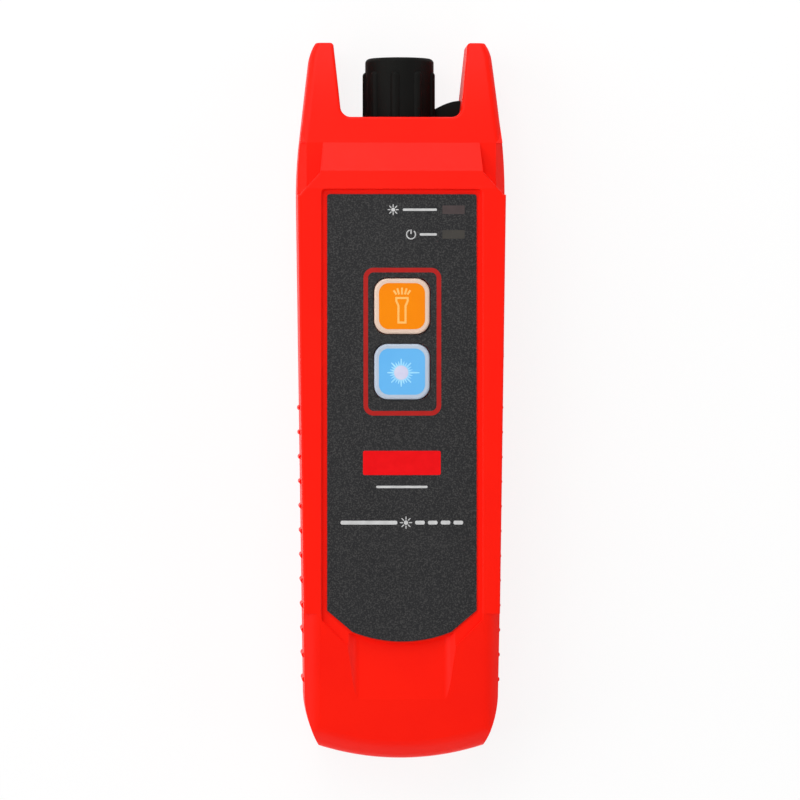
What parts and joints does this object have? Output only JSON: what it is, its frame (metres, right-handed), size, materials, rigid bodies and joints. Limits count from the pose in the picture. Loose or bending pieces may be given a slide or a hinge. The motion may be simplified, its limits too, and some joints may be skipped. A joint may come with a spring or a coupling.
{
  "type": "visual fault locator",
  "caption": "Handheld visible-laser tester for optical fibre: slim two-shell case, two keys, horns guarding a capped 2.5 mm ferrule port.",
  "frame": {"origin": "middle of the flat back plane, at the middle of the plan", "axes": "+X across to the side cover, +Y along the body to the port and horns, +Z out of the front"},
  "size_m": [0.0456, 0.1572, 0.027],
  "materials": {
    "shell_red": "fine moulded satin",
    "label_black": "printed film with a fine sparkle",
    "key_warm_white": "satin",
    "key_cool_white": "satin",
    "key_orange": "satin",
    "key_blue": "satin",
    "cap_rubber": "matt moulded rubber",
    "cover_rubber": "matt moulded rubber",
    "port_metal": "nickel plated, turned",
    "ferrule_ceramic": "ground zirconia ceramic",
    "laser_brass": "turned",
    "diode_metal": "gold plated can",
    "board_green": "solder mask",
    "switch_black": "moulded",
    "plunger_white": "moulded",
    "led_clear": "clear epoxy",
    "lens_smoke": "smoked light guide",
    "led_chip": "chip lamp",
    "contact_steel": "nickel plated spring steel",
    "screw_steel": "black zinc",
    "socket_steel": "drawn shell",
    "cell_wrap": "shrink sleeve"
  },
  "bodies": {
    "housing": {"front_shell": "shell_red", "back_shell": "shell_red", "label_overlay": "label_black", "torch_switch": "switch_black", "laser_switch": "switch_black", "laser_indicator_lens": "lens_smoke", "power_indicator_lens": "lens_smoke", "laser_indicator_led": "led_chip", "power_indicator_led": "led_chip", "main_board": "board_green", "charge_socket": "socket_steel", "port_collar": "port_metal", "port_nut": "port_metal", "ferrule_sleeve": "ferrule_ceramic", "laser_barrel": "laser_brass", "laser_diode": "diode_metal", "torch_bezel": "port_metal", "torch_led": "led_clear", "cap_tether": "cap_rubber", "battery_cell_left": "cell_wrap", "battery_cell_right": "cell_wrap", "plate_contacts": "contact_steel", "spring_contacts": "contact_steel", "case_screws": "screw_steel", "board_screws": "screw_steel"},
    "cap": {"dust_cap": "cap_rubber"},
    "torch_key": {"torch_key": "key_warm_white", "torch_key_face": "key_orange", "torch_plunger": "plunger_white"},
    "laser_key": {"laser_key": "key_cool_white", "laser_key_face": "key_blue", "laser_plunger": "plunger_white"},
    "door": {"battery_door": "shell_red"},
    "side_cover": {"port_cover": "cover_rubber"}
  },
  "joints": [
    {"name": "cap_pull", "type": "slide", "parent": "housing", "child": "cap", "axis": [0, 1, 0], "range_m": [0, 0.016], "deforming": ["cap_tether"]},
    {"name": "torch_key_press", "type": "slide", "parent": "housing", "child": "torch_key", "axis": [0, 0, -1], "range_m": [0, 0.0004], "stiffness_N_per_m": 3000},
    {"name": "laser_key_press", "type": "slide", "parent": "housing", "child": "laser_key", "axis": [0, 0, -1], "range_m": [0, 0.0004], "stiffness_N_per_m": 3000},
    {"name": "door_slide", "type": "slide", "parent": "housing", "child": "door", "axis": [0, -1, 0], "range_m": [0, 0.062]},
    {"name": "side_cover_hinge", "type": "hinge", "parent": "housing", "child": "side_cover", "pos_m": [0.0227, 0.0281, 0.0159], "axis": [0, 0, 1], "range_deg": [0, 100]}
  ]
}
